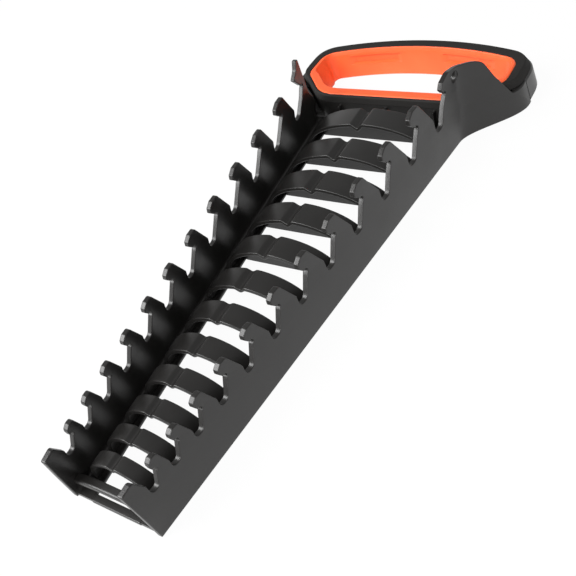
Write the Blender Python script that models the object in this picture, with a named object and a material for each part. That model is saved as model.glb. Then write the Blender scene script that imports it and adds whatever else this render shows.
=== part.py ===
"""Spanner rack for twelve tools, with a moulded carrying handle at its wide end.

The rack is a tapered channel that lies on its floor. Both side walls are cut into hooks,
and each pair of slots holds one spanner across the channel. Arched leaves between the
walls press up under the spanners. Behind the widest slot both walls sweep outwards into a
closed handle loop that lies flat, lined with a coloured grip.

Plan lengths below are in millimetres along +Y from the middle of the narrowest slot.
Heights are in millimetres above the floor. The finished model is in metres, with its
origin at the bottom centre of its bounding box.
"""
import math

import bmesh
import bpy

MM = 0.001
GAP = 0.3

# Slots
SLOT_COUNT = 12
FIRST_PITCH = 11.5
PITCH_STEP = 1.6
SLOT_FLOOR = 18.3

# Tray walls
NARROW_HALF = 21.2
TAPER = 0.092
WALL = 2.5
TRAY_END = -7.8
TAB_OVERHANG = 1.7
WALL_LEAN = 0.092
UPRIGHT_HEIGHT = 26.0
LEAN_END = (204.0, 16.0)
FLANGE_WIDTH = 6.0
FLANGE_THICK = 2.0

# Hang hole through the right ear
HANG_HOLE = (238.0, 34.6)
HOLE_RADIUS = 2.6

# Sweep of the walls into the handle
RAIL_END = 273.0
SHELL_TOP = 12.4
SWEEP_HEIGHT = 17.0
SWEEP_START = (232.6, 239.2)
SWEEP_LENGTH = (38.0, 29.2)
SWEEP_THICKENS = 0.35
HANDLE_HALF = (69.5, 66.0)

# Handle loop, as the outline of the liner's rim
LINER_HALF = 59.3
LINER_NEAR = 244.6
LINER_FAR = 298.1
LINER_BOW = 161.0
LINER_TOP = 17.0
NEAR_CORNER = (41.1, LINER_NEAR, 20.0)
SIDE_CORNER = (LINER_HALF, 265.1, 12.0)
FAR_CORNER = 10.0
HANDLE_FAR = 308.0
FAR_LEAN = 2.5
FOOT_CHAMFER = 1.2

# Soft band on top of the loop
BAND_FOOT = SHELL_TOP + GAP
BAND_TOP = 16.8
BAND_NARROW = 1.8
BAND_SIDE = 4.7
BAND_FAR = 6.9
BAND_SKIRT = 2.1
BAND_WIDENS = (260.0, 12.0)

# Leaves
LEAF_PEAK = 19.0
LEAF_FOOT = 4.5
LEAF_CLEAR = 3.0
LEAF_THICK = 2.0
LEAF_SHARE = 0.57
LEAF_COLUMNS = 12

# End wall under the handle's near bar
BRIDGE_THICK = 1.8
BRIDGE_FRONT = LINER_NEAR - BRIDGE_THICK
BRIDGE_RIBS = (-28.0, 0.0, 28.0)

FARTHEST_Y = HANDLE_FAR + FAR_LEAN * (1.0 - FOOT_CHAMFER / SHELL_TOP)
MIDDLE_Y = (FARTHEST_Y + TRAY_END - TAB_OVERHANG) / 2


def slot_positions():
    """Middle of each slot, from the narrow end."""
    places = [0.0]
    for index in range(SLOT_COUNT - 1):
        places.append(places[-1] + FIRST_PITCH + PITCH_STEP * index)
    return places


def pitch_at(index):
    """Room along the rack that the slot with this index has on its wide side."""
    return FIRST_PITCH + PITCH_STEP * index


def smooth(value):
    """Ease from 0 to 1 with level ends."""
    value = min(max(value, 0.0), 1.0)
    return value * value * (3.0 - 2.0 * value)


def tray_half(y):
    """Half width over the straight tray walls, at the height where the lean is nought."""
    return NARROW_HALF + TAPER * y


def outer_half(y, z):
    """Half width over the walls, which lean inwards and then sweep out into the handle."""
    height = min(max(z / SWEEP_HEIGHT, 0.0), 1.0)
    start = SWEEP_START[0] + (SWEEP_START[1] - SWEEP_START[0]) * height
    length = SWEEP_LENGTH[0] + (SWEEP_LENGTH[1] - SWEEP_LENGTH[0]) * height
    side = HANDLE_HALF[0] + (HANDLE_HALF[1] - HANDLE_HALF[0]) * height
    blend = smooth((y - start) / length)
    lean = WALL_LEAN * (UPRIGHT_HEIGHT - z)
    if lean < 0.0:
        lean *= 1.0 - smooth((y - LEAN_END[0]) / LEAN_END[1])
    straight = tray_half(y) + lean
    return straight + (side - straight) * blend


def inner_half(y, z):
    """Half width between the walls, which grow a little thinner round the sweep."""
    slope = outer_half(y + 0.5, z) - outer_half(y - 0.5, z)
    slant = math.hypot(1.0, slope) - 1.0
    return outer_half(y, z) - WALL * (1.0 + SWEEP_THICKENS * slant)


def place(x, y, z):
    """A point of the rack's plan as a point of the finished model."""
    return (x * MM, (y - MIDDLE_Y) * MM, z * MM)


def new_material(name, colour, roughness):
    """A plain plastic with a Principled surface."""
    material = bpy.data.materials.new(name)
    material.use_nodes = True
    shader = material.node_tree.nodes["Principled BSDF"]
    shader.inputs["Base Color"].default_value = (*colour, 1.0)
    shader.inputs["Roughness"].default_value = roughness
    shader.inputs["Metallic"].default_value = 0.0
    material.diffuse_color = (*colour, 1.0)
    return material


def finish_object(name, mesh_data, material, smooth_angle=30.0):
    """Turn edited mesh data into a named object with outward faces."""
    bmesh.ops.recalc_face_normals(mesh_data, faces=mesh_data.faces)
    mesh = bpy.data.meshes.new(name)
    mesh_data.to_mesh(mesh)
    mesh_data.free()
    mesh.shade_smooth()
    mesh.set_sharp_from_angle(angle=math.radians(smooth_angle))
    mesh.materials.append(material)
    item = bpy.data.objects.new(name, mesh)
    bpy.context.scene.collection.objects.link(item)
    return item


def join_shape(item, tool, operation="UNION"):
    """Join a helper shape to a piece, or cut it away, and hide the helper."""
    tool.hide_render = True
    tool.display_type = "WIRE"
    change = item.modifiers.new(tool.name, "BOOLEAN")
    change.operation = operation
    change.solver = "EXACT"
    change.object = tool


def rounded(corners, steps=3):
    """Outline through the corners, each given as y, z and an optional radius."""
    outline = []
    for index, corner in enumerate(corners):
        radius = corner[2] if len(corner) > 2 else 0.0
        if radius <= 0.0:
            outline.append(corner[:2])
            continue
        before = corners[index - 1]
        after = corners[(index + 1) % len(corners)]
        to_before = (before[0] - corner[0], before[1] - corner[1])
        to_after = (after[0] - corner[0], after[1] - corner[1])
        size_before = math.hypot(*to_before)
        size_after = math.hypot(*to_after)
        cosine = (to_before[0] * to_after[0] + to_before[1] * to_after[1]) / (size_before * size_after)
        half = math.acos(min(max(cosine, -1.0), 1.0)) / 2.0
        reach = min(radius / math.tan(half), size_before * 0.49, size_after * 0.49)
        before_share = reach / size_before
        after_share = reach / size_after
        start = (corner[0] + to_before[0] * before_share, corner[1] + to_before[1] * before_share)
        end = (corner[0] + to_after[0] * after_share, corner[1] + to_after[1] * after_share)
        for step in range(steps + 1):
            t = step / steps
            weights = ((1 - t) ** 2, 2 * t * (1 - t), t ** 2)
            outline.append((
                weights[0] * start[0] + weights[1] * corner[0] + weights[2] * end[0],
                weights[0] * start[1] + weights[1] * corner[1] + weights[2] * end[1],
            ))
    return outline


# --- Side rails -----------------------------------------------------------------------

def slot_sides(y, pitch):
    """Where the narrow side and the wide side of a slot stand at its bottom."""
    narrow_side = y - 0.7
    return narrow_side, narrow_side + 2.0 + 0.13 * pitch


def slot_corners(y, pitch):
    """One slot, walked down its slanted wide side and across its bottom."""
    narrow_side, wide_side = slot_sides(y, pitch)
    relief_y = y - 0.3 + 0.465 * pitch
    relief_z = SLOT_FLOOR + 1.7 + 0.4 * pitch
    relief = 0.8 + 0.02 * pitch
    corners = []
    for degrees in (125, 75, 25, -25, -75):
        angle = math.radians(degrees)
        corners.append((relief_y + relief * math.cos(angle), relief_z + relief * math.sin(angle)))
    round_end = (wide_side - narrow_side) * 0.6
    corners.append((wide_side, SLOT_FLOOR, round_end))
    corners.append((narrow_side, SLOT_FLOOR, round_end))
    return corners


def hook_height(pitch):
    """Height of a hook above the bottom of its slot."""
    return 3.8 + 0.66 * pitch


def barb_corners(y, pitch):
    """The front of the hook over the slot at y, walked from its top to its barb."""
    tip_y = y + 1.5 + 0.235 * pitch
    tip_z = SLOT_FLOOR + 3.4 + 0.5 * pitch
    front_y = tip_y + 0.4 + 0.14 * pitch
    top_z = SLOT_FLOOR + hook_height(pitch)
    return [(front_y, top_z, 1.2), (tip_y + 0.3, tip_z + 0.09 * pitch, 0.8), (tip_y, tip_z, 0.3)]


def hook_corners(y, pitch):
    """The back of the hook between the slot at y and the next, walked up to its top."""
    rise = hook_height(pitch)
    back = (y + pitch - 0.5, SLOT_FLOOR + 0.34 * rise, 1.5)
    peak = (y + 2.3 + 0.55 * pitch, SLOT_FLOOR + rise, 1.5)
    return [back, peak] + barb_corners(y, pitch)


def ear_corners(side):
    """The wall's top behind the widest slot, walked from the handle to the last barb."""
    if side > 0:
        return [
            (261.2, SHELL_TOP, 1.5), (255.5, 25.5, 6.0), (251.5, 36.6, 6.0), (233.0, 40.4, 5.0),
            (226.6, 38.3, 1.5), (224.8, 35.2, 0.4),
        ]
    return [
        (243.0, SHELL_TOP, 3.0), (233.2, 25.0, 4.0), (230.6, 46.3, 0.8), (228.2, 46.6, 0.8),
        (226.0, 42.0, 3.0), (221.4, 38.6, 0.4),
    ]


def rail_outline(side):
    """Side view of one wall with its twelve slots."""
    places = slot_positions()
    widest = pitch_at(SLOT_COUNT - 1)
    corners = [(TRAY_END, 0.0), (RAIL_END, 0.0), (RAIL_END, SHELL_TOP)]
    corners += ear_corners(side)
    corners += slot_corners(places[-1], widest)
    for index in reversed(range(SLOT_COUNT - 1)):
        corners += hook_corners(places[index], pitch_at(index))
        corners += slot_corners(places[index], pitch_at(index))
    corners.append((-0.9, SLOT_FLOOR + 4.5, 1.0))
    corners.append((-4.0, 29.3, 1.5))
    corners.append((TRAY_END - TAB_OVERHANG, 28.4, 0.8))
    return rounded(corners)


def side_rail(name, side, material):
    """One wall, bent from a flat side view onto the tapered and swept surface."""
    shape = bmesh.new()
    outline = [shape.verts.new((0.0, y, z)) for y, z in rail_outline(side)]
    shape.faces.new(outline)
    cuts = [((0, 0, z), (0, 0, 1)) for z in (3.0, 6.0, 9.0, 12.0, SWEEP_HEIGHT)]
    cuts += [((0, SWEEP_START[0] + 4.8 * step, 0), (0, 1, 0)) for step in range(9)]
    for point, normal in cuts:
        everything = shape.verts[:] + shape.edges[:] + shape.faces[:]
        bmesh.ops.bisect_plane(shape, geom=everything, plane_co=point, plane_no=normal, dist=1e-4)
    bmesh.ops.triangulate(shape, faces=shape.faces)
    grown = bmesh.ops.extrude_face_region(shape, geom=shape.faces[:])
    inner = {item for item in grown["geom"] if isinstance(item, bmesh.types.BMVert)}
    for vert in shape.verts:
        y, z = vert.co.y, vert.co.z
        half = inner_half(y, z) if vert in inner else outer_half(y, z)
        vert.co = place(side * half, y, z)
    return finish_object(name, shape, material)


def floor_flange(name, side, material):
    """The ledge along the foot of one wall, which carries the leaves."""
    shape = bmesh.new()
    stations = [TRAY_END + 0.5, 60.0, 120.0, 180.0, 228.0, 234.0, 238.0, BRIDGE_FRONT - 1.6]
    rings = []
    for y in stations:
        outer = outer_half(y, 0.0) - WALL / 2
        edge = tray_half(y) - WALL - FLANGE_WIDTH
        corners = [(outer, 0.0), (outer, FLANGE_THICK), (edge, FLANGE_THICK), (edge, 0.0)]
        rings.append([shape.verts.new(place(side * x, y, z)) for x, z in corners])
    close_tube(shape, rings)
    return finish_object(name, shape, material)


def close_tube(shape, rings):
    """Faces between successive rings of equal count, with both ends capped."""
    count = len(rings[0])
    for first, second in zip(rings, rings[1:]):
        for index in range(count):
            after = (index + 1) % count
            shape.faces.new((first[index], first[after], second[after], second[index]))
    shape.faces.new(rings[0][::-1])
    shape.faces.new(rings[-1])


def hang_hole(name, material):
    """Round tool that bores the hang hole through the right ear."""
    shape = bmesh.new()
    bmesh.ops.create_cone(
        shape, cap_ends=True, segments=24, radius1=HOLE_RADIUS * MM, radius2=HOLE_RADIUS * MM, depth=16 * MM
    )
    item = finish_object(name, shape, material)
    item.rotation_euler = (0.0, math.pi / 2, 0.0)
    item.location = place(tray_half(HANG_HOLE[0]) - WALL / 2, *HANG_HOLE)
    return item


# --- Leaves ---------------------------------------------------------------------------

def dent_size(pitch):
    """Half width and depth of the dent in a leaf's crown."""
    return 0.17 * pitch - 0.3, max(0.6, 0.16 * pitch - 1.8)


def leaf_arch(span, peak, dent, foot):
    """Half ellipse from foot to foot, with the dent that runs along its crown."""
    dent_half, dent_depth = dent
    end = math.acos(LEAF_FOOT / LEAF_PEAK)
    right = [(dent_half, peak * math.sqrt(1.0 - (dent_half / span) ** 2))]
    for step in range(1, LEAF_COLUMNS + 1):
        angle = end * step / LEAF_COLUMNS
        x = span * math.sin(angle)
        if x > dent_half + 0.5:
            right.append((x, peak * math.cos(angle)))
    right.append((right[-1][0], foot))
    floor = [(-0.35 * dent_half, peak - dent_depth), (0.35 * dent_half, peak - dent_depth)]
    return [(-x, z) for x, z in reversed(right)] + floor + right


def leaf_spring(name, y, pitch, material):
    """An arched leaf: open to the narrow end, closed by a web at its back edge."""
    front = y + 0.9
    back = front + LEAF_SHARE * pitch
    web = back - LEAF_THICK
    span = tray_half(front) - LEAF_CLEAR
    edge = tray_half(front) - WALL - FLANGE_WIDTH - GAP
    ledge = FLANGE_THICK + GAP
    crown = leaf_arch(span, LEAF_PEAK, dent_size(pitch), ledge)
    under = leaf_arch(span - LEAF_THICK, LEAF_PEAK - LEAF_THICK, dent_size(pitch), ledge)
    base = [(-edge, ledge), (-edge, 0.0), (edge, 0.0), (edge, ledge)]

    shape = bmesh.new()

    def row(outline, at):
        """The outline's corners at one station, spread to follow the walls' taper."""
        grow = 1.0 + TAPER * (at - front) / (tray_half(front) - WALL)
        return [shape.verts.new(place(x * grow, at, z)) for x, z in outline]

    crown_front, crown_back = row(crown, front), row(crown, back)
    under_front, under_back = row(under, front), row(under, web)
    base_front, base_back = row(base, web), row(base, back)
    for first, second in ((crown_front, crown_back), (under_front, under_back), (base_front, base_back)):
        for index in range(len(first) - 1):
            shape.faces.new((first[index], first[index + 1], second[index + 1], second[index]))
    shape.faces.new(crown_front + under_front[::-1])
    shape.faces.new(under_back + base_front[::-1])
    shape.faces.new(crown_back + base_back[::-1])
    for end in (0, -1):
        shape.faces.new((crown_front[end], under_front[end], under_back[end],
                         base_front[end], base_back[end], crown_back[end]))
    bmesh.ops.triangulate(shape, faces=shape.faces)
    return finish_object(name, shape, material)


def strip_solid(name, outline, front, back, material):
    """A cross section drawn between the walls and run along the rack, following the taper."""
    shape = bmesh.new()
    rings = []
    for y in (front, back):
        spread = tray_half(y) - tray_half(front)
        ring = []
        for x, z in outline:
            share = x / (tray_half(front) - WALL)
            ring.append(shape.verts.new(place(x + spread * share, y, z)))
        rings.append(ring)
    close_tube(shape, rings)
    bmesh.ops.triangulate(shape, faces=shape.faces)
    return finish_object(name, shape, material)


def end_leaf(name, material):
    """The low strip in front of the narrowest slot, open underneath, with a rolled edge."""
    front = -5.2
    back = -1.6
    reach = inner_half(front, 6.0) - GAP
    upper = [(-reach, 7.6), (-reach * 0.8, 9.6), (0.0, 10.2), (reach * 0.8, 9.6), (reach, 7.6)]
    lower = [(x, z - LEAF_THICK) for x, z in reversed(upper)]
    return strip_solid(name, upper + lower, front, back, material)


def end_bar(name, material):
    """The flat bar that ties the two flanges together at the narrow end."""
    front = TRAY_END + 0.3
    back = front + 3.2
    edge = tray_half(front) - WALL - FLANGE_WIDTH - GAP
    outline = [(-edge, 0.0), (edge, 0.0), (edge, FLANGE_THICK), (-edge, FLANGE_THICK)]
    return strip_solid(name, outline, front, back, material)


# --- Handle ---------------------------------------------------------------------------

def bridge_section(point, outward):
    """Upright wall just outside the liner."""
    return [(0.0, 0.0), (0.0, SHELL_TOP), (BRIDGE_THICK, SHELL_TOP), (BRIDGE_THICK, 0.0)]


def bridge_wall(name, path, material):
    """The upright wall under the near bar and corners of the loop, with ribs and a foot."""
    near = [station for station in path if station[0][1] < RAIL_END]
    left = [station for station in near if station[0][0] < 0.0]
    right = [station for station in near if station[0][0] >= 0.0]
    wall = swept_ring(name, left + right, bridge_section, material, False)
    foot_front = BRIDGE_FRONT - FLANGE_WIDTH
    foot_half = tray_half(foot_front) - WALL - FLANGE_WIDTH - GAP
    foot = box_tool(name + "_foot", (-foot_half, foot_half), (foot_front, BRIDGE_FRONT + 1.0),
                    (0.0, FLANGE_THICK), material)
    join_shape(wall, foot)
    for index, x in enumerate(BRIDGE_RIBS):
        rib = box_tool(f"{name}_rib_{index}", (x - 0.8, x + 0.8), (BRIDGE_FRONT - 3.0, BRIDGE_FRONT + 1.0),
                       (1.0, SHELL_TOP - 1.0), material)
        join_shape(wall, rib)
    return wall


def box_tool(name, xs, ys, zs, material):
    """A plain block between the given limits."""
    shape = bmesh.new()
    rings = []
    for z in zs:
        corners = [(xs[0], ys[0]), (xs[1], ys[0]), (xs[1], ys[1]), (xs[0], ys[1])]
        rings.append([shape.verts.new(place(x, y, z)) for x, y in corners])
    close_tube(shape, rings)
    return finish_object(name, shape, material)


def liner_path():
    """The liner's rim seen from above, as points with their outward directions."""
    centre_y = LINER_FAR - LINER_BOW
    corner_x = LINER_HALF - FAR_CORNER
    corner_y = centre_y + math.sqrt((LINER_BOW - FAR_CORNER) ** 2 - corner_x ** 2)
    bow_end = math.atan2(corner_x, corner_y - centre_y)
    half = rounded([(0.0, LINER_NEAR), NEAR_CORNER, SIDE_CORNER, (LINER_HALF, corner_y)], 4)[:-1]
    half += [(LINER_HALF, RAIL_END + GAP), (LINER_HALF, (RAIL_END + corner_y) / 2)]
    for step in range(5):
        angle = (math.pi / 2 - bow_end) * step / 4
        half.append((corner_x + FAR_CORNER * math.cos(angle), corner_y + FAR_CORNER * math.sin(angle)))
    for step in range(1, 6):
        angle = bow_end * (1 - step / 5)
        half.append((LINER_BOW * math.sin(angle), centre_y + LINER_BOW * math.cos(angle)))
    points = half + [(-x, y) for x, y in reversed(half[1:-1])]
    path = []
    for index, point in enumerate(points):
        before = points[index - 1]
        after = points[(index + 1) % len(points)]
        along = (after[0] - before[0], after[1] - before[1])
        size = math.hypot(*along)
        path.append((point, (along[1] / size, -along[0] / size)))
    return path


def loop_behind_rails(path):
    """The part of the path behind the rails' ends, cut square at both ends."""
    loop = [station for station in path if station[0][1] >= RAIL_END]
    for end in (0, -1):
        point = loop[end][0]
        loop[end] = (point, (math.copysign(1.0, point[0]), 0.0))
    return loop


def swept_ring(name, path, section, material, closed):
    """Sweep a cross section of outward offsets and heights round the path."""
    shape = bmesh.new()
    rings = []
    for point, outward in path:
        ring = []
        for offset, z in section(point, outward):
            x = point[0] + outward[0] * offset
            y = point[1] + outward[1] * offset
            ring.append(shape.verts.new(place(x, y, z)))
        rings.append(ring)
    if closed:
        count = len(rings[0])
        for first, second in zip(rings, rings[1:] + rings[:1]):
            for index in range(count):
                after = (index + 1) % count
                shape.faces.new((first[index], first[after], second[after], second[index]))
    else:
        close_tube(shape, rings)
    bmesh.ops.triangulate(shape, faces=shape.faces)
    return finish_object(name, shape, material, smooth_angle=40.0)


def liner_lean(outward):
    """How far the liner slopes inwards: little at the far side, most along the near bar."""
    return 6.4 - 3.4 * max(0.0, outward[1]) + 1.6 * max(0.0, -outward[1])


def liner_section(point, outward):
    """Funnel wall of the coloured liner, with a rim that is widest along the near bar."""
    lean = liner_lean(outward)
    rim = 2.8 - 0.9 * max(0.0, outward[1]) + 3.7 * max(0.0, -outward[1])
    return [
        (0.0, LINER_TOP - 2.1), (0.0, LINER_TOP - 0.5), (-0.8, LINER_TOP), (0.5 - rim, LINER_TOP - 0.1),
        (-rim - 0.1, LINER_TOP - 2.1), (-lean, 1.6), (-lean, 0.3), (-lean + 2.0, 0.3),
        (-0.9, LINER_TOP - 2.7),
    ]


def outer_offset(point, outward, z):
    """How far the handle's outer face lies outside the liner's rim."""
    side = outer_half(RAIL_END + 10.0, z) - LINER_HALF
    far = HANDLE_FAR - LINER_FAR + FAR_LEAN * (1.0 - z / SHELL_TOP)
    return side + (far - side) * smooth(outward[1])


def frame_section(point, outward):
    """Hard core of the handle, between the liner and the outer face."""
    def out(z):
        return outer_offset(point, outward, z)
    foot = -liner_lean(outward) + 2.4
    return [
        (GAP, SHELL_TOP), (-0.5, SHELL_TOP), (foot, 0.9), (foot, 0.0), (out(0.0) - FOOT_CHAMFER, 0.0),
        (out(FOOT_CHAMFER), FOOT_CHAMFER), (out(11.6), 11.6), (out(SHELL_TOP) - 0.8, SHELL_TOP),
    ]


def grip_section(point, outward):
    """Soft band on top of the loop: narrow along the near bar, with a skirt at the sides."""
    widened = smooth((point[1] - BAND_WIDENS[0]) / BAND_WIDENS[1])
    crest = BAND_NARROW + (BAND_SIDE - BAND_NARROW) * widened
    crest += (BAND_FAR - BAND_SIDE) * smooth(outward[1])
    skirt = crest + BAND_SKIRT * widened
    return [
        (GAP, BAND_FOOT), (skirt, BAND_FOOT), (skirt + 0.1, BAND_FOOT + 0.5), (crest, BAND_TOP - 0.6),
        (crest - 0.6, BAND_TOP), (GAP, BAND_TOP),
    ]


def build():
    """Model every piece of the rack."""
    for item in list(bpy.data.objects):
        bpy.data.objects.remove(item, do_unlink=True)

    black = (0.028, 0.027, 0.027)
    for side, label in ((-1, "left"), (1, "right")):
        name = f"{label}_side_rail"
        rail = side_rail(name, side, new_material(name, black, 0.42))
        join_shape(rail, floor_flange(name + "_flange", side, rail.data.materials[0]))
        if side > 0:
            join_shape(rail, hang_hole(name + "_hole", rail.data.materials[0]), "DIFFERENCE")

    for index, y in enumerate(slot_positions()):
        name = f"leaf_{index + 1:02d}"
        leaf_spring(name, y, pitch_at(index), new_material(name, black, 0.45))
    end_leaf("end_leaf", new_material("end_leaf", black, 0.35))
    end_bar("end_bar", new_material("end_bar", black, 0.42))

    path = liner_path()
    bridge_wall("handle_bridge", path, new_material("handle_bridge", black, 0.45))
    loop = loop_behind_rails(path)
    swept_ring("handle_frame", loop, frame_section, new_material("handle_frame", black, 0.42), False)
    swept_ring("handle_soft_grip", path, grip_section, new_material("handle_soft_grip", black, 0.6), True)
    swept_ring("grip_liner", path, liner_section, new_material("grip_liner", (1.0, 0.14, 0.045), 0.5), True)


build()
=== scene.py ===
# %% [markdown]
# # A carry rack for twelve spanners
#
# The rack is one black moulding with a handle at its wide end. Two softer materials are
# moulded onto the handle afterwards: a black band on top and a bright liner inside.
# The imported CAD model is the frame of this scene. Its nodes have the right places and
# sizes, and the pieces drawn here stand in for them with rounder edges and finer curves.

import math

import bmesh
import bpy
from mathutils import Matrix, Vector


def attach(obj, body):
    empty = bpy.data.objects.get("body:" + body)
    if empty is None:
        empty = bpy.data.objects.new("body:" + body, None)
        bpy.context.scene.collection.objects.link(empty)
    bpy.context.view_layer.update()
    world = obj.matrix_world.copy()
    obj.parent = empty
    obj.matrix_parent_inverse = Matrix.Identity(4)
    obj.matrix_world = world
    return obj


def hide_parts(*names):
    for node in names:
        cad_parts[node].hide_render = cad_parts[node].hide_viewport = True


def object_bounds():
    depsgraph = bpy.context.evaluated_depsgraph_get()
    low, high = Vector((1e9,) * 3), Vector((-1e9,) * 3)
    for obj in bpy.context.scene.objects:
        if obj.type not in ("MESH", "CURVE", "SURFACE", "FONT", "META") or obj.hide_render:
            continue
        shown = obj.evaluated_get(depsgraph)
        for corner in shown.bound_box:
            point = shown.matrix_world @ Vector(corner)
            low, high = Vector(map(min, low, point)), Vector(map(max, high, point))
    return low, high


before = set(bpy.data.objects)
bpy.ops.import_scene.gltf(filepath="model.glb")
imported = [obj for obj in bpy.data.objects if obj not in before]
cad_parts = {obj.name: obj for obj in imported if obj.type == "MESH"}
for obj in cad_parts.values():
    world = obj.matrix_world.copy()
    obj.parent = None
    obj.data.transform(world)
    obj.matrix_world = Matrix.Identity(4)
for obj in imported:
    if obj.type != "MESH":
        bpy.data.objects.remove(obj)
cad_low, cad_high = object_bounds()
print("nodes in the frame:", len(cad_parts))

# %% [markdown]
# ## Camera
#
# The viewer stands at the rack's right-hand side near its narrow end and looks down at
# it, with the camera tilted so that the rack runs up the frame from corner to corner.
# A camera could be aimed with a constraint. Three angles place it here instead, because
# they are easy to picture: the heading round the rack, the height above the floor, and
# the tilt of the frame.

# %% Camera
HEADING, HEIGHT, TILT = math.radians(43.55), math.radians(42.59), math.radians(20.16)
EYE = Vector((0.17313, -0.2115, 0.2227))

camera = bpy.data.objects.new("camera", bpy.data.cameras.new("camera"))
bpy.context.scene.collection.objects.link(camera)
turn = Matrix.Rotation(HEADING, 4, "Z") @ Matrix.Rotation(math.pi / 2 - HEIGHT, 4, "X")
camera.matrix_world = Matrix.Translation(EYE) @ turn @ Matrix.Rotation(-TILT, 4, "Z")
camera.data.lens = 45.0
camera.data.sensor_width = 36.0
camera.data.clip_start = 0.01
bpy.context.scene.camera = camera
print("camera looks along", [round(x, 3) for x in -camera.matrix_world.col[2].xyz])

# %% [markdown]
# ## Colours and nodes
#
# Colours are written as a designer would give them, in sRGB hex, and one function turns
# them into the linear values that a shader takes. A second function adds one node to a
# material with its settings and its links, so that each material reads as a short list.

# %% Colour and node helpers
def colour(code):
    """Linear colour with full alpha from an sRGB hex code."""
    values = [int(code[i:i + 2], 16) / 255 for i in (1, 3, 5)]
    return (*[v / 12.92 if v <= 0.04045 else ((v + 0.055) / 1.055) ** 2.4 for v in values], 1.0)


def add(tree, kind, inputs, **settings):
    """Add a node. Each input is given a value, or is linked where it is given a socket."""
    node = tree.nodes.new(kind)
    for name, value in settings.items():
        setattr(node, name, value)
    for socket, value in inputs.items():
        if isinstance(value, bpy.types.NodeSocket):
            tree.links.new(value, node.inputs[socket])
        else:
            node.inputs[socket].default_value = value
    return node


def new_tree(name):
    """An empty node material and its tree."""
    material = bpy.data.materials.new(name)
    material.use_nodes = True
    material.node_tree.nodes.clear()
    return material, material.node_tree


print("a mid grey is", round(colour("#808080")[0], 3), "in linear light")

# %% [markdown]
# ## Stage and light
#
# The rack lies on a white sheet inside a white tent that is open above. Black plastic
# shows little colour of its own, so what it looks like is mostly what it reflects. The
# leaning side wall reflects the sheet, which is nearly white in reflections too, while
# the tops of the leaves reflect the open top, which is about a third as bright. Light
# could come from the tent alone, but it would leave no shading on the leaves, so two
# large soft lamps stand beyond the narrow end, one on each side. For the sheet, the share
# that glows is set for each kind of ray: diffuse light meets plain paper, so the rack
# keeps its shadow.

# %% Sheet under the rack
sheet_mesh = bpy.data.meshes.new("studio_sheet")
sheet_form = bmesh.new()
bmesh.ops.create_grid(sheet_form, x_segments=2, y_segments=2, size=4.0)
sheet_form.to_mesh(sheet_mesh)
sheet_form.free()
studio_sheet = bpy.data.objects.new("studio_sheet", sheet_mesh)
studio_sheet.location.z = -0.0002
bpy.context.scene.collection.objects.link(studio_sheet)

SHEET_GLOW_SEEN = 0.95
SHEET_GLOW_REFLECTED = 0.8

paper, tree = new_tree("matt_white_paper")
path = add(tree, "ShaderNodeLightPath", {})
direct = add(tree, "ShaderNodeMath", {0: path.outputs["Is Camera Ray"], 1: SHEET_GLOW_SEEN},
             operation="MULTIPLY")
bounced = add(tree, "ShaderNodeMath",
              {0: path.outputs["Is Glossy Ray"], 1: path.outputs["Is Transmission Ray"]},
              operation="MAXIMUM")
share = add(tree, "ShaderNodeMath",
            {0: bounced.outputs[0], 1: SHEET_GLOW_REFLECTED, 2: direct.outputs[0]},
            operation="MULTIPLY_ADD")
matt = add(tree, "ShaderNodeBsdfDiffuse", {"Color": colour("#f4f4f4")})
glow = add(tree, "ShaderNodeEmission", {"Color": colour("#ffffff"), "Strength": 1.0})
mixed = add(tree, "ShaderNodeMixShader", {0: share.outputs[0], 1: matt.outputs[0], 2: glow.outputs[0]})
add(tree, "ShaderNodeOutputMaterial", {"Surface": mixed.outputs[0]})
sheet_mesh.materials.append(paper)
print("sheet is", round(studio_sheet.dimensions.x, 1), "m wide")

# %% Tent and lamps
TENT_DIFFUSE = 0.2
TENT_OPEN_TOP = 0.35

world = bpy.data.worlds.new("white_tent")
bpy.context.scene.world = world
world.use_nodes = True
tree = world.node_tree
tree.nodes.clear()
path = add(tree, "ShaderNodeLightPath", {})
seen = add(tree, "ShaderNodeMath", {0: path.outputs["Is Camera Ray"], 1: path.outputs["Is Glossy Ray"]},
           operation="MAXIMUM")
seen = add(tree, "ShaderNodeMath", {0: seen.outputs[0], 1: path.outputs["Is Transmission Ray"]},
           operation="MAXIMUM")
way = add(tree, "ShaderNodeTexCoord", {})
split = add(tree, "ShaderNodeSeparateXYZ", {"Vector": way.outputs["Generated"]})
open_top = add(tree, "ShaderNodeMapRange",
               {"Value": split.outputs["Z"], "From Min": 0.05, "From Max": 0.5,
                "To Min": 1.0, "To Max": TENT_OPEN_TOP}, interpolation_type="SMOOTHSTEP")
sky = add(tree, "ShaderNodeMath", {0: open_top.outputs[0], 1: path.outputs["Is Camera Ray"]},
          operation="MAXIMUM")
dim = add(tree, "ShaderNodeBackground", {"Color": colour("#ffffff"), "Strength": TENT_DIFFUSE})
white = add(tree, "ShaderNodeBackground", {"Color": colour("#ffffff"), "Strength": sky.outputs[0]})
mixed = add(tree, "ShaderNodeMixShader", {0: seen.outputs[0], 1: dim.outputs[0], 2: white.outputs[0]})
add(tree, "ShaderNodeOutputWorld", {"Surface": mixed.outputs[0]})


def soft_lamp(name, place, aim, width, power):
    """A square area lamp at one point, aimed at another."""
    lamp = bpy.data.objects.new(name, bpy.data.lights.new(name, "AREA"))
    lamp.data.size = width
    lamp.data.energy = power
    lamp.location = place
    lamp.rotation_euler = (Vector(aim) - Vector(place)).to_track_quat("-Z", "Y").to_euler()
    bpy.context.scene.collection.objects.link(lamp)
    return lamp


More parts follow.
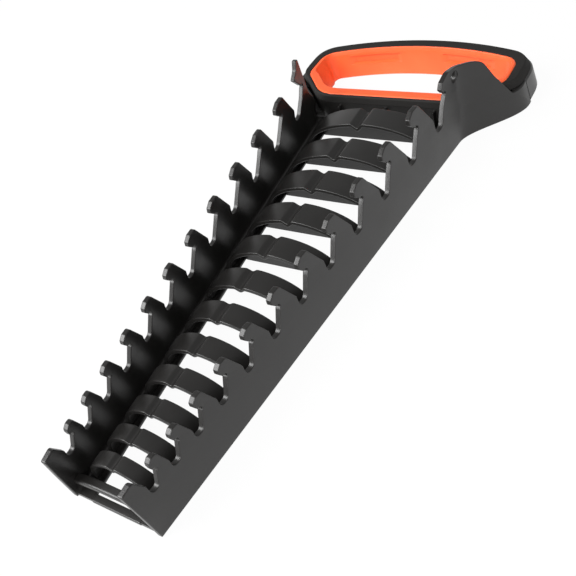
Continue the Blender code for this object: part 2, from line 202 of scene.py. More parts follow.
RACK_MIDDLE = (0.0, 0.0, 0.0)
soft_lamp("key_lamp", (-0.8, -0.75, 0.95), RACK_MIDDLE, 0.9, 27.0)
soft_lamp("front_lamp", (0.5, -1.05, 0.95), RACK_MIDDLE, 0.9, 17.0)
bpy.context.scene.view_settings.view_transform = "Standard"

# %% [markdown]
# ## Finishes
#
# **Black polypropylene** is the body. It comes out of a spark-eroded steel mould, which
# leaves a very fine grain, and it cools unevenly, which leaves broad patches that are a
# little glossier than others. The real grain is about 0.1 mm, too fine to show, so it is
# drawn at 0.35 mm. The patches are some 15 mm wide. Its refractive index is about 1.49.
#
# **Black thermoplastic rubber** covers the top of the handle. It is a shade lighter than
# the body and matt, because its mould is blasted coarser.
#
# **Orange thermoplastic rubber** lines the handle. It is dense and evenly coloured, lets
# a very little light in under its skin, and has a satin surface.
#
# A picture of a grain could be wrapped round the pieces. Noise worked out from the place
# on the piece is used instead, because it needs no unwrapping and has no seams.

# %% Moulded plastic
PATCH_MM = 15.0


def moulded(name, tone, deep_tone, roughness, spread, grain_mm, grain_height_mm, specular,
            under=0.0):
    """A moulded plastic: fine grain from the mould, broad patches of gloss and of tone."""
    material, tree = new_tree(name)
    place = add(tree, "ShaderNodeTexCoord", {})
    patches = add(tree, "ShaderNodeTexNoise",
                  {"Vector": place.outputs["Object"], "Scale": 1000.0 / PATCH_MM, "Detail": 3.0,
                   "Roughness": 0.55})
    grain = add(tree, "ShaderNodeTexNoise",
                {"Vector": place.outputs["Object"], "Scale": 1000.0 / grain_mm, "Detail": 2.0})
    tint = add(tree, "ShaderNodeMix", {0: patches.outputs[0], 6: colour(deep_tone), 7: colour(tone)},
               data_type="RGBA")
    gloss = add(tree, "ShaderNodeMapRange",
                {"Value": patches.outputs[0], "From Min": 0.3, "From Max": 0.7,
                 "To Min": roughness - spread, "To Max": roughness + spread})
    skin = add(tree, "ShaderNodeBump",
               {"Height": grain.outputs[0], "Strength": 0.6, "Distance": grain_height_mm / 1000.0})
    shader = add(tree, "ShaderNodeBsdfPrincipled",
                 {"Base Color": tint.outputs[2], "Roughness": gloss.outputs[0], "Normal": skin.outputs[0],
                  "IOR": 1.49, "Specular IOR Level": specular})
    if under:
        shader.inputs["Subsurface Weight"].default_value = under
        shader.inputs["Subsurface Radius"].default_value = (0.0012, 0.0004, 0.0002)
        shader.inputs["Subsurface Scale"].default_value = 1.0
    add(tree, "ShaderNodeOutputMaterial", {"Surface": shader.outputs[0]})
    return material


black_polypropylene = moulded("black_polypropylene_fine_grain", "#201f1e", "#181716",
                              roughness=0.36, spread=0.05, grain_mm=0.35, grain_height_mm=0.02,
                              specular=0.55)
black_soft_rubber = moulded("black_thermoplastic_rubber_matt", "#2a2928", "#242322",
                            roughness=0.7, spread=0.04, grain_mm=0.5, grain_height_mm=0.03, specular=0.12)
orange_soft_rubber = moulded("orange_thermoplastic_rubber_satin", "#ff6a38", "#fa5c2c",
                             roughness=0.42, spread=0.04, grain_mm=0.4, grain_height_mm=0.015, specular=0.5,
                             under=0.05)
print("finishes:", black_polypropylene.name, black_soft_rubber.name, orange_soft_rubber.name)

# %% [markdown]
# ## Measures
#
# All shapes are worked out in millimetres in the rack's own plan: x across the rack, y
# along it from the middle of the narrowest slot, z up from the floor. The spanners get
# bigger along the rack, so the slots are spaced further and further apart, and every
# hook and leaf is scaled from the spacing at its slot.

# %% Plan of the rack
SLOT_COUNT = 12
FIRST_PITCH = 11.5
PITCH_STEP = 1.6
SLOT_FLOOR = 18.3
NARROW_HALF = 21.2
TAPER = 0.092
WALL = 2.5
TRAY_END = -7.8
TAB_OVERHANG = 1.7

pitches = [FIRST_PITCH + PITCH_STEP * index for index in range(SLOT_COUNT)]
slots = [sum(pitches[:index]) for index in range(SLOT_COUNT)]
length = (cad_high.y - cad_low.y) * 1000
middle_y = TRAY_END - TAB_OVERHANG + length / 2


def place(x, y, z):
    """A point of the plan, in millimetres, as a point of the frame, in metres."""
    return Vector((x, y - middle_y, z)) / 1000


print("slots at", [round(y, 1) for y in slots], "middle of the plan at", round(middle_y, 3))

# %% [markdown]
# ## The curved side walls
#
# Both walls lean inwards by some five degrees, bulge outwards by less than half a
# millimetre, follow the taper of the tray, and behind the widest slot sweep outwards into
# the sides of the handle, where they grow a little thinner. A wall could be modelled as a
# plate and bent with a modifier. Here one function gives the half width over the walls at
# any place instead, so that everything that touches a wall can use it.

# %% Surface of the walls
WALL_LEAN = 0.092
WALL_BULGE = 0.4
UPRIGHT_HEIGHT = 26.0
LEAN_END = (204.0, 16.0)
RAIL_END = 273.0
SHELL_TOP = 12.4
SWEEP_HEIGHT = 17.0
SWEEP_START = (232.6, 239.2)
SWEEP_LENGTH = (38.0, 29.2)
SWEEP_THICKENS = 0.35
HANDLE_HALF = (69.5, 66.0)


def smooth(value):
    """Ease from 0 to 1 with level ends."""
    value = min(max(value, 0.0), 1.0)
    return value * value * (3.0 - 2.0 * value)


def between(pair, share):
    """The value that lies a share of the way from the first to the second."""
    return pair[0] + (pair[1] - pair[0]) * share


def tray_half(y):
    """Half width of the straight tray, where the lean is nought."""
    return NARROW_HALF + TAPER * y


def outer_half(y, z):
    """Half width over the walls."""
    height = min(max(z / SWEEP_HEIGHT, 0.0), 1.0)
    blend = smooth((y - between(SWEEP_START, height)) / between(SWEEP_LENGTH, height))
    lean = WALL_LEAN * (UPRIGHT_HEIGHT - z)
    if lean < 0.0:
        lean *= 1.0 - smooth((y - LEAN_END[0]) / LEAN_END[1])
    lean += WALL_BULGE * math.sin(math.pi * min(max(z / UPRIGHT_HEIGHT, 0.0), 1.0))
    return between((tray_half(y) + lean, between(HANDLE_HALF, height)), blend)


def inner_half(y, z):
    """Half width between the walls, which grow a little thinner round the sweep."""
    slope = outer_half(y + 0.5, z) - outer_half(y - 0.5, z)
    slant = math.hypot(1.0, slope) - 1.0
    return outer_half(y, z) - WALL * (1.0 + SWEEP_THICKENS * slant)


print("width over the walls at the first and last slot:",
      round(2 * outer_half(slots[0], 0), 1), round(2 * outer_half(slots[-1], 0), 1))

# %% [markdown]
# ## Helpers for shapes
#
# A moulding has hardly a sharp corner anywhere: plastic doesn't fill one well, and a
# mould wears it round. Corners in a side view or in a swept section are rounded in the
# outline itself, and most other edges are rounded with a bevel. The normals of every
# piece are weighted by face size, so that its large faces stay flat in the light.

# %% Outline and mesh helpers
def rounded(corners, steps=6):
    """Outline through the corners, each given as two numbers and an optional radius."""
    outline = []
    for index, corner in enumerate(corners):
        here = Vector(corner[:2])
        radius = corner[2] if len(corner) > 2 else 0.0
        if radius <= 0.0:
            outline.append(here)
            continue
        back = Vector(corners[index - 1][:2]) - here
        on = Vector(corners[(index + 1) % len(corners)][:2]) - here
        half = max(back.angle(on) / 2.0, 0.01)
        reach = min(radius / math.tan(half), back.length * 0.49, on.length * 0.49)
        start, end = here + back.normalized() * reach, here + on.normalized() * reach
        for step in range(steps + 1):
            t = step / steps
            outline.append(start * (1 - t) ** 2 + here * 2 * t * (1 - t) + end * t ** 2)
    return outline


def tube(form, rings, closed=False):
    """Skin successive rings of equal count. An open tube is capped at both ends."""
    pairs = list(zip(rings, rings[1:] + rings[:1])) if closed else list(zip(rings, rings[1:]))
    for first, second in pairs:
        for index in range(len(first)):
            after = (index + 1) % len(first)
            form.faces.new((first[index], first[after], second[after], second[index]))
    if not closed:
        form.faces.new(rings[0][::-1])
        form.faces.new(rings[-1])


def add_piece(name, form, material, node, bevel=0.45, angle=35.0):
    """Turn the form into a piece of the rack that stands for its CAD node."""
    bmesh.ops.recalc_face_normals(form, faces=form.faces)
    mesh = bpy.data.meshes.new(name)
    form.to_mesh(mesh)
    form.free()
    mesh.shade_smooth()
    mesh.materials.append(material)
    piece = bpy.data.objects.new(name, mesh)
    bpy.context.scene.collection.objects.link(piece)
    if bevel:
        edge = piece.modifiers.new("rounded_edges", "BEVEL")
        edge.width = bevel / 1000
        edge.segments = 3
        edge.limit_method = "ANGLE"
        edge.angle_limit = math.radians(angle)
    else:
        mesh.set_sharp_from_angle(angle=math.radians(angle))
    normals = piece.modifiers.new("flat_faces_stay_flat", "WEIGHTED_NORMAL")
    normals.keep_sharp = True
    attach(piece, "root")
    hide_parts(node)
    return piece


square = rounded([(0, 0, 1), (4, 0, 1), (4, 4, 1), (0, 4, 1)])
print("a square with four rounded corners has", len(square), "points")


# %% [markdown]
# ## Side rails
#
# Each wall is a row of hooks. A slot leans towards the handle on its wide side, has a
# small round relief at its top so that the hook can flex, and a barb hangs over it that
# snaps behind the spanner's shaft. The wall could be cut from a block with a cutter for
# each slot. Here it is drawn as a flat side view, its edges are bevelled while it is
# flat, and then every point is moved onto the curved surface of the wall.

# %% Outline of a slot and a hook
def slot_corners(y, pitch):
    """One slot, walked down its slanted wide side and across its bottom."""
    narrow_side = y - 0.7
    wide_side = narrow_side + 2.0 + 0.13 * pitch
    relief = 0.8 + 0.02 * pitch
    middle = Vector((y - 0.3 + 0.465 * pitch, SLOT_FLOOR + 1.7 + 0.4 * pitch))
    corners = []
    for degrees in range(125, -76, -25):
        angle = math.radians(degrees)
        corners.append(middle + relief * Vector((math.cos(angle), math.sin(angle))))
    bottom = (wide_side - narrow_side) * 0.6
    return corners + [(wide_side, SLOT_FLOOR, bottom), (narrow_side, SLOT_FLOOR, bottom)]


def barb_corners(y, pitch):
    """The front of the hook over the slot at y, walked from its top to its barb."""
    tip_y = y + 1.5 + 0.235 * pitch
    tip_z = SLOT_FLOOR + 3.4 + 0.5 * pitch
    top_z = SLOT_FLOOR + 3.8 + 0.66 * pitch
    return [(tip_y + 0.4 + 0.14 * pitch, top_z, 1.2), (tip_y + 0.3, tip_z + 0.09 * pitch, 0.8),
            (tip_y, tip_z - 0.2, 0.6)]


def hook_corners(y, pitch):
    """The back of the hook between the slot at y and the next, walked up to its top."""
    rise = 3.8 + 0.66 * pitch
    return [(y + pitch - 0.5, SLOT_FLOOR + 0.34 * rise, 1.5),
            (y + 2.3 + 0.55 * pitch, SLOT_FLOOR + rise, 1.5)] + barb_corners(y, pitch)


RIGHT_EAR = [(261.2, SHELL_TOP, 1.5), (255.5, 25.5, 6.0), (251.5, 36.6, 6.0), (233.0, 40.4, 5.0),
             (226.6, 38.3, 1.5), (224.8, 35.2, 0.6)]
LEFT_EAR = [(243.0, SHELL_TOP, 3.0), (233.2, 25.0, 4.0), (230.6, 46.3, 0.9), (228.2, 46.6, 0.9),
            (226.0, 42.0, 3.0), (221.4, 38.6, 0.6)]


def rail_outline(ear):
    """Side view of one wall with its twelve slots."""
    corners = [(TRAY_END, 0.0), (RAIL_END, 0.0), (RAIL_END, SHELL_TOP)] + ear
    corners += slot_corners(slots[-1], pitches[-1])
    for index in reversed(range(SLOT_COUNT - 1)):
        corners += hook_corners(slots[index], pitches[index])
        corners += slot_corners(slots[index], pitches[index])
    corners += [(-0.9, SLOT_FLOOR + 4.5, 1.0), (-4.0, 29.3, 1.5),
                (TRAY_END - TAB_OVERHANG, 28.4, 0.8)]
    return rounded(corners)


print("corners in one rail's outline:", len(rail_outline(RIGHT_EAR)))

# %% Floor flange and its fillet
FLANGE_WIDTH = 6.0
FLANGE_THICK = 2.0
FILLET = 1.6


def flange_ring(form, side, y):
    """Cross section of the ledge at the wall's foot, filleted into the wall."""
    edge = tray_half(y) - WALL - FLANGE_WIDTH
    fillet_z = FLANGE_THICK + FILLET
    points = [(edge + 0.4, 0.05), (edge, 0.5), (edge, 1.4), (edge + 0.15, 1.8), (edge + 0.6, FLANGE_THICK)]
    for step in range(6):
        angle = math.pi / 2 * (1 - step / 5)
        z = fillet_z - FILLET * math.sin(angle)
        points.append((inner_half(y, z) - FILLET * (1 - math.cos(angle)), z))
    points += [(outer_half(y, fillet_z) - WALL / 2, fillet_z), (outer_half(y, 0.0) - WALL / 2, 0.05)]
    return [form.verts.new(place(side * x, y, z)) for x, z in points]


def add_flange(form, side):
    """The ledge along the foot of one wall, which carries the leaves."""
    stations = [TRAY_END + 0.6, 60.0, 120.0, 180.0, 224.0] + [228.0 + 2.5 * n for n in range(7)]
    tube(form, [flange_ring(form, side, y) for y in stations])


print("flange is", FLANGE_WIDTH, "mm wide with a fillet of", FILLET, "mm")


# %% Bend the flat wall onto its surface
EDGE_RADIUS = 0.42


def flat_wall(ear):
    """The wall as a flat plate with rounded edges: thickness along x, side view in y and z."""
    form = bmesh.new()
    outline = [form.verts.new((0.0, y, z)) for y, z in rail_outline(ear)]
    form.faces.new(outline)
    grown = bmesh.ops.extrude_face_region(form, geom=form.faces[:])["geom"]
    far_side = [v for v in grown if isinstance(v, bmesh.types.BMVert)]
    bmesh.ops.translate(form, vec=(WALL, 0, 0), verts=far_side)
    rim = [e for e in form.edges if abs(e.verts[0].co.x - e.verts[1].co.x) < 0.01]
    bmesh.ops.bevel(form, geom=rim, offset=EDGE_RADIUS, segments=3, profile=0.5, affect="EDGES",
                    clamp_overlap=False)
    bmesh.ops.triangulate(form, faces=[f for f in form.faces if len(f.verts) > 4])
    cuts = [((0, 0, z), (0, 0, 1)) for z in (2.0, 4.0, 6.0, 8.0, 10.0, 12.0, 14.0, 20.0, 26.0, 32.0)]
    cuts += [((0, y, 0), (0, 1, 0)) for y in range(204, 222, 3)]
    cuts += [((0, SWEEP_START[0] + 2.0 * step, 0), (0, 1, 0)) for step in range(21)]
    for point, normal in cuts:
        everything = form.verts[:] + form.edges[:] + form.faces[:]
        bmesh.ops.bisect_plane(form, geom=everything, plane_co=point, plane_no=normal, dist=1e-4)
    return form


def add_rail(name, side, ear, node):
    """One side wall with its flange."""
    form = flat_wall(ear)
    for vert in form.verts:
        depth, y, z = vert.co
        half = between((outer_half(y, z), inner_half(y, z)), depth / WALL)
        vert.co = place(side * half, y, z)
    add_flange(form, side)
    return add_piece(name, form, black_polypropylene, node, bevel=0.0, angle=50.0)


add_rail("left_hook_rail", -1, LEFT_EAR, "left_side_rail")
right_rail = add_rail("right_hook_rail", 1, RIGHT_EAR, "right_side_rail")
print("faces in the right rail:", len(right_rail.data.polygons))

# %% [markdown]
# ## Hang hole
#
# The right ear has a round hole of about 5 mm, for a nail or a hook on a wall. A cutter
# turned on a lathe, wider at both ends, bores the hole and rounds its rim in one go.

# %% Bore the hang hole
HANG_HOLE = (238.0, 34.6)
HOLE_RADIUS = 2.6

cutter_form = bmesh.new()
profile = [(0.0, -4.0), (3.4, -4.0), (3.4, -1.5), (3.0, -1.25), (2.72, -0.95), (HOLE_RADIUS, -0.6)]
profile += [(r, -t) for r, t in reversed(profile)]
points = [cutter_form.verts.new((r / 1000, 0, t / 1000)) for r, t in profile]
spine = [cutter_form.edges.new(pair) for pair in zip(points, points[1:])]
bmesh.ops.spin(cutter_form, geom=points + spine, axis=(0, 0, 1), cent=(0, 0, 0), steps=48, angle=math.tau)
bmesh.ops.remove_doubles(cutter_form, verts=cutter_form.verts, dist=1e-6)
bmesh.ops.recalc_face_normals(cutter_form, faces=cutter_form.faces)
hole_y, hole_z = HANG_HOLE
centre = place(outer_half(hole_y, hole_z) - WALL / 2, hole_y, hole_z)
bmesh.ops.transform(cutter_form, verts=cutter_form.verts,
                    matrix=Matrix.Translation(centre) @ Matrix.Rotation(math.pi / 2, 4, "Y"))
cutter_mesh = bpy.data.meshes.new("hole_cutter")
cutter_form.to_mesh(cutter_mesh)
cutter_form.free()
cutter = bpy.data.objects.new("hole_cutter", cutter_mesh)
bpy.context.scene.collection.objects.link(cutter)
bore = right_rail.modifiers.new("hang_hole", "BOOLEAN")
bore.operation = "DIFFERENCE"
bore.solver = "EXACT"
bore.object = cutter
right_rail.modifiers.move(1, 0)
bpy.context.view_layer.update()
bored = bpy.data.meshes.new_from_object(right_rail.evaluated_get(bpy.context.evaluated_depsgraph_get()))
right_rail.modifiers.clear()
right_rail.data = bored
bpy.data.objects.remove(cutter)
print("faces in the right rail with its hole:", len(bored.polygons))

# %% [markdown]
# ## Leaves
#
# Between the walls stands one arched leaf behind each slot. It presses up under the
# spanner and holds it against the barbs. A dent runs along the top of each leaf, a little
# left of the middle on the bigger ones, where the arch can bend. The seven smaller leaves
# are open arches, and the five bigger ones are closed by a web at the back. (The CAD
# model closes all twelve.) An arch could be a bent sheet with thickness, but the web
# makes a box with one open side, so every leaf is skinned from outlines at its front, at
# the web and at its back.

# %% Arch and dent
LEAF_PEAK = 19.0
LEAF_FOOT = 4.5
LEAF_CLEAR = 3.0
LEAF_THICK = 2.0
LEAF_SHARE = 0.57
LEAF_GAP = 0.9
LAST_LEAF_SHORTER = 1.5
CLOSED_FROM = 8
DENT_DRIFT = 0.2
ARCH_STEPS = 26


def arch(span, peak, dent, foot):
    """Half ellipse from foot to foot. The dent is given by its place, half width and depth."""
    dent_x, dent_half, dent_depth = dent
    last = math.acos(LEAF_FOOT / LEAF_PEAK)
    sides = []
    for side in (-1, 1):
        shoulder_x = dent_x + side * dent_half
        first = side * math.asin(shoulder_x / span)
        arc = [(shoulder_x, peak * math.cos(first), 1.8)]
        for step in range(1, ARCH_STEPS + 1):
            angle = between((first, last), step / ARCH_STEPS)
            arc.append((side * span * math.sin(angle), peak * math.cos(angle)))
        arc.append((arc[-1][0], foot))
        sides.append(arc)
    return rounded(sides[0][::-1] + [(dent_x, peak - dent_depth, 1.4)] + sides[1], 4)


def dent_of(pitch):
    """Place, half width and depth of the dent on the leaf at a slot of this spacing."""
    return (-DENT_DRIFT * (pitch - pitches[0]), 0.8 + 0.09 * pitch, max(1.6, 0.17 * pitch - 1.8))


print("dents of the first and last leaf:", [[round(x, 2) for x in dent_of(p)]
                                            for p in (pitches[0], pitches[-1])])


# %% One leaf after another
def add_leaf(number, y, pitch):
    """One arched leaf behind the slot at y."""
    front = y + LEAF_GAP
    back = front + LEAF_SHARE * pitch - (LAST_LEAF_SHORTER if number == SLOT_COUNT else 0.0)
    closed = number >= CLOSED_FROM
    web = back - (LEAF_THICK if closed else 0.0)
    span = tray_half(front) - LEAF_CLEAR
    edge = tray_half(front) - WALL - FLANGE_WIDTH + 0.5
    ledge = FLANGE_THICK - 0.1
    dent = dent_of(pitch)
    crown = arch(span, LEAF_PEAK, dent, ledge)
    under = arch(span - LEAF_THICK, LEAF_PEAK - LEAF_THICK, dent, ledge)
    base = [(-edge, ledge), (-edge, 0.0), (edge, 0.0), (edge, ledge)]
    form = bmesh.new()

    def row(outline, at):
        """The outline at one station, spread to follow the walls' taper."""
        grow = 1.0 + TAPER * (at - front) / (tray_half(front) - WALL)
        return [form.verts.new(place(x * grow, at, z)) for x, z in outline]

    crown_front, crown_back = row(crown, front), row(crown, back)
    under_front, under_back = row(under, front), row(under, web)
    strips = [(crown_front, crown_back), (under_front, under_back), (crown_front, under_front)]
    foot_ends = [crown_front, under_front, under_back]
    if closed:
        base_front, base_back = row(base, web), row(base, back)
        strips.append((base_front, base_back))
        form.faces.new(under_back + base_front[::-1])
        form.faces.new(crown_back + base_back[::-1])
        foot_ends += [base_front, base_back]
    else:
        strips.append((crown_back, under_back))
    for first, second in strips:
        for index in range(len(first) - 1):
            form.faces.new((first[index], first[index + 1], second[index + 1], second[index]))
    for end in (0, -1):
        form.faces.new([line[end] for line in foot_ends + [crown_back]])
    return add_piece(f"arched_leaf_{number:02d}", form, black_polypropylene,
                     f"leaf_{number:02d}", angle=40.0)


leaves = [add_leaf(index + 1, slots[index], pitches[index]) for index in range(SLOT_COUNT)]
print("leaves:", len(leaves), "of which closed at the back:", SLOT_COUNT - CLOSED_FROM + 1)

# %% [markdown]
# ## Narrow end
#
# Two thin pieces tie the walls together in front of the narrowest slot: a low strip
# with a rolled front edge, and a flat bar on the floor before it. Either could be a
# bevelled block. Both are a cross section run from wall to wall instead, so that the
# strip can fall towards the walls.

# %% End strip and end bar
def cross_strip(name, sections, node, bevel):
    """Skin cross sections in y and z that are given from the left wall to the right one."""
    form = bmesh.new()
    tube(form, [[form.verts.new(place(x, y, z)) for y, z in section] for x, section in sections])
    return add_piece(name, form, black_polypropylene, node, bevel=bevel)


strip_sections = []
STRIP_STEPS = 16
for step in range(STRIP_STEPS + 1):
    across = 2 * step / STRIP_STEPS - 1
    crown_z = 10.2 - 2.6 * abs(across) ** 3
    section = rounded([(-1.6, crown_z), (-1.6, crown_z - 2.0), (-3.6, crown_z - 2.0),
                       (-4.4, crown_z - 2.6, 0.6), (-5.3, crown_z - 2.4, 0.7), (-5.3, crown_z, 1.6)], 5)
    strip_sections.append(((inner_half(-3.4, 6.0) + 0.4) * across, section))
cross_strip("narrow_end_strip", strip_sections, "end_leaf", 0.3)

bar_front = TRAY_END + 0.3
bar_half = tray_half(bar_front) - WALL - FLANGE_WIDTH + 0.5
bar_back = bar_front + 3.2
bar = [(bar_front, 0.0), (bar_front, FLANGE_THICK), (bar_back, FLANGE_THICK), (bar_back, 0.0)]
cross_strip("narrow_end_bar", [(-bar_half, bar), (bar_half, bar)], "end_bar", 0.4)
print("bar at the narrow end is", round(2 * bar_half, 1), "mm long")

# %% [markdown]
# ## Handle
#
# The handle is a closed loop. Its path is the rim of the liner seen from above: rounded
# corners near the tray and a long bow at the far side. Three cross sections are swept
# round it: the liner, which slopes inwards like a funnel, the hard core outside it, and
# the soft band on top of the core. The core is swept only behind the side walls, which
# take its place along the near corners. A curve with a bevel object could do this, but
# its section could only be scaled on the way. Here the section is a function of the
# place, so that the liner leans more along the near bar and has a long groove on each
# side of a pad in the middle of the far side.

# %% Path of the handle
LINER_HALF = 59.3
LINER_NEAR = 244.6
LINER_FAR = 298.1
LINER_BOW = 161.0
NEAR_CORNER = (41.1, LINER_NEAR, 20.0)
SIDE_CORNER = (LINER_HALF, 265.1, 12.0)
FAR_CORNER = 10.0


def liner_path():
    """The rim of the liner as points, each with its outward direction."""
    centre_y = LINER_FAR - LINER_BOW
    corner_x = LINER_HALF - FAR_CORNER
    corner_y = centre_y + math.sqrt((LINER_BOW - FAR_CORNER) ** 2 - corner_x ** 2)
    bow_end = math.atan2(corner_x, corner_y - centre_y)
    near = [Vector((7.5 * n, LINER_NEAR)) for n in range(4)]
    half = near + rounded([(0.0, LINER_NEAR), NEAR_CORNER, SIDE_CORNER, (LINER_HALF, corner_y)], 10)[1:-1]
    for y in (RAIL_END + 0.3, between((RAIL_END, corner_y), 0.35), between((RAIL_END, corner_y), 0.7)):
        half.append(Vector((LINER_HALF, y)))
    for step in range(11):
        angle = between((0.0, math.pi / 2 - bow_end), step / 10)
        half.append(Vector((corner_x, corner_y)) + FAR_CORNER * Vector((math.cos(angle), math.sin(angle))))
    for step in range(1, 21):
        angle = bow_end * (1 - step / 20)
        half.append(Vector((0.0, centre_y)) + LINER_BOW * Vector((math.sin(angle), math.cos(angle))))
    points = half + [Vector((-p.x, p.y)) for p in reversed(half[1:-1])]
    stations = []
    for index, point in enumerate(points):
        along = (points[(index + 1) % len(points)] - points[index - 1]).normalized()
        stations.append((point, Vector((along.y, -along.x))))
    return stations


rim_path = liner_path()
print("stations round the handle:", len(rim_path))

# %% Sweep a section round the handle
HANDLE_FAR = 308.0
FAR_LEAN = 2.5


def sweep_form(stations, section, closed):
    """Sweep a section of outward offsets and heights round the stations."""
    form = bmesh.new()
    rings = []
    for point, outward in stations:
        ring = []
        for offset, z in section(point, outward):
            spot = point + outward * offset
            ring.append(form.verts.new(place(spot.x, spot.y, z)))
        rings.append(ring)
    tube(form, rings, closed)
    return form


def outer_offset(outward, z):
    """How far the handle's outer face lies outside the liner's rim."""
    side = outer_half(RAIL_END + 10.0, z) - LINER_HALF
    far = HANDLE_FAR - LINER_FAR + FAR_LEAN * (1.0 - z / SHELL_TOP)
    return between((side, far), smooth(outward.y))


print("core is", round(outer_offset(Vector((0.0, 1.0)), 0.0), 1), "mm wide at the far side")


# %% Orange liner
LINER_TOP = 17.0


def liner_lean(outward):
    """How far the liner slopes inwards: least at the far side, most along the near bar."""
    return 6.4 - 3.4 * max(0.0, outward.y) + 1.6 * max(0.0, -outward.y)


GROOVE_FROM, GROOVE_TO = 13.5, 44.5
GROOVE_DEEP = 1.6
GROOVE_PROFILE = ((13.4, 0.0), (13.0, 1.0), (8.6, 1.0), (8.0, 0.0))


def groove_depth(point, outward):
    """How deep the liner's inner face is grooved: nought but on both sides of the far pad."""
    ends = smooth((abs(point.x) - GROOVE_FROM) / 3.0) * smooth((GROOVE_TO - abs(point.x)) / 3.0)
    return GROOVE_DEEP * ends * smooth(3.0 * outward.y - 1.5)


def liner_section(point, outward):
    """Funnel wall with a rolled rim that is widest along the near bar."""
    lean = liner_lean(outward)
    groove = groove_depth(point, outward)
    rim = 2.8 - 0.9 * max(0.0, outward.y) + 3.7 * max(0.0, -outward.y)

    def face(z):
        """The funnel's plain inner face at height z."""
        return between((-rim - 0.1, -lean), (LINER_TOP - 2.1 - z) / (LINER_TOP - 3.7))

    return rounded([(0.0, LINER_TOP - 2.1), (0.0, LINER_TOP - 0.5, 0.4), (-0.8, LINER_TOP, 0.6),
                    (0.5 - rim, LINER_TOP - 0.1, 0.5), (-rim - 0.1, LINER_TOP - 2.1, 0.5),
                    *[(face(z) + share * groove, z) for z, share in GROOVE_PROFILE],
                    (-lean, 1.6, 0.6), (-lean, 0.3), (2.0 - lean, 0.3), (-0.9, LINER_TOP - 2.7)], 3)


grip_liner = add_piece("orange_grip_liner", sweep_form(rim_path, liner_section, True),
                       orange_soft_rubber, "grip_liner", bevel=0.0)
print("faces in the liner:", len(grip_liner.data.polygons))

# %% Hard core
FOOT_CHAMFER = 1.2

behind_rails = [station for station in rim_path if station[0].y >= RAIL_END]
for end in (0, -1):
    tip = behind_rails[end][0]
    behind_rails[end] = (tip, Vector((math.copysign(1.0, tip.x), 0.0)))


def core_section(point, outward):
    """Hard core between the liner and the outer face."""
    inner = 2.4 - liner_lean(outward)
    return rounded([(0.3, SHELL_TOP), (-0.5, SHELL_TOP), (inner, 0.9), (inner, 0.0),
                    (outer_offset(outward, 0.0) - FOOT_CHAMFER, 0.0, 1.0),
                    (outer_offset(outward, FOOT_CHAMFER), FOOT_CHAMFER, 1.0),
                    (outer_offset(outward, 11.6), 11.6, 0.5),
                    (outer_offset(outward, SHELL_TOP) - 0.8, SHELL_TOP, 0.4)], 3)


hard_core = add_piece("handle_hard_core", sweep_form(behind_rails, core_section, False),
                      black_polypropylene, "handle_frame", bevel=0.0)
print("faces in the core:", len(hard_core.data.polygons))

# %% Soft band
BAND_FOOT = 12.3
BAND_TOP = 16.8
BAND_NARROW, BAND_SIDE, BAND_FAR = 1.8, 4.7, 6.9
BAND_SKIRT = 2.1
BAND_WIDENS = (260.0, 12.0)


def band_section(point, outward):
    """Soft band on top of the loop: narrow along the near bar, with a skirt at the sides."""
    widened = smooth((point.y - BAND_WIDENS[0]) / BAND_WIDENS[1])
    crest = between((BAND_NARROW, BAND_SIDE), widened) + (BAND_FAR - BAND_SIDE) * smooth(outward.y)
    skirt = crest + BAND_SKIRT * widened
    return rounded([(0.1, BAND_FOOT), (skirt, BAND_FOOT), (skirt + 0.1, BAND_FOOT + 0.5, 0.3),
                    (crest, BAND_TOP - 0.6, 0.6), (crest - 0.6, BAND_TOP, 0.5), (0.1, BAND_TOP, 0.3)], 4)


soft_band = add_piece("handle_soft_band", sweep_form(rim_path, band_section, True),
                      black_soft_rubber, "handle_soft_grip", bevel=0.0)
print("faces in the band:", len(soft_band.data.polygons))

# %% [markdown]
# ## End wall under the near bar
#
# The tray ends in an upright wall under the handle's near bar, which follows the liner
# round both near corners. Three ribs and a foot stiffen it against the pull of the
# handle, and a floor closes the pocket between each corner and the side wall. The wall
# could be cut from a block. Here it is one more section swept along the path, and the
# ribs are blocks with a little draft, so that they come out of the mould.

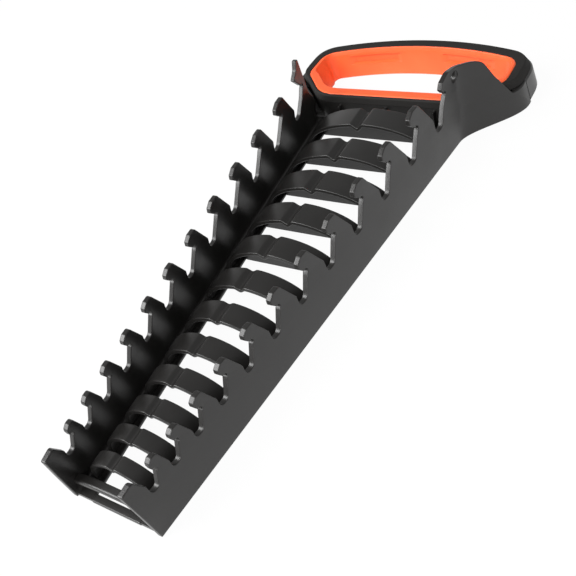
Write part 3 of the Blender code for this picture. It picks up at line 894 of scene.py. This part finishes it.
# %% End wall with ribs
BRIDGE_THICK = 1.8
BRIDGE_FRONT = LINER_NEAR - BRIDGE_THICK
BRIDGE_RIBS = (-28.0, 0.0, 28.0)
POCKET_FROM = 30.0
POCKET_FLOOR = 4.0


def block(form, xs, ys, zs, draft=0.0):
    """A block between the given limits, narrower by the draft at its top."""
    rings = []
    for z, inset in ((zs[0], 0.0), (zs[1], draft)):
        corners = [(xs[0] + inset, ys[0] + inset), (xs[1] - inset, ys[0] + inset),
                   (xs[1] - inset, ys[1]), (xs[0] + inset, ys[1])]
        rings.append([form.verts.new(place(x, y, z)) for x, y in corners])
    tube(form, rings)


ahead = [station for station in rim_path if station[0].y < RAIL_END]
near_path = [s for s in ahead if s[0].x < 0.0] + [s for s in ahead if s[0].x >= 0.0]
wall_form = sweep_form(near_path, lambda point, outward: [
    (0.0, 0.0), (0.0, SHELL_TOP), (BRIDGE_THICK, SHELL_TOP), (BRIDGE_THICK, 0.0)], False)
foot_front = BRIDGE_FRONT - FLANGE_WIDTH
foot_half = tray_half(foot_front) - WALL - FLANGE_WIDTH + 0.5
block(wall_form, (-foot_half, foot_half), (foot_front, BRIDGE_FRONT + 1.0), (0.0, FLANGE_THICK))
near_corner = [point for point, outward in near_path if point.x > POCKET_FROM]
for side in (-1, 1):
    pocket = []
    for point in near_corner:
        y = max(point.y, BRIDGE_FRONT + 0.8)
        inside, outside = point.x + 0.6, inner_half(y, 0.0) - 0.4
        corners = [(inside, 0.2), (outside, 0.2), (outside, POCKET_FLOOR), (inside, POCKET_FLOOR)]
        pocket.append([wall_form.verts.new(place(side * x, y, z)) for x, z in corners])
    tube(wall_form, pocket)
for x in BRIDGE_RIBS:
    block(wall_form, (x - 0.9, x + 0.9), (BRIDGE_FRONT - 3.0, BRIDGE_FRONT + 1.0),
          (1.0, SHELL_TOP - 1.0), 0.2)
near_bar_wall = add_piece("near_bar_wall", wall_form, black_polypropylene, "handle_bridge")
print("faces in the end wall:", len(near_bar_wall.data.polygons))
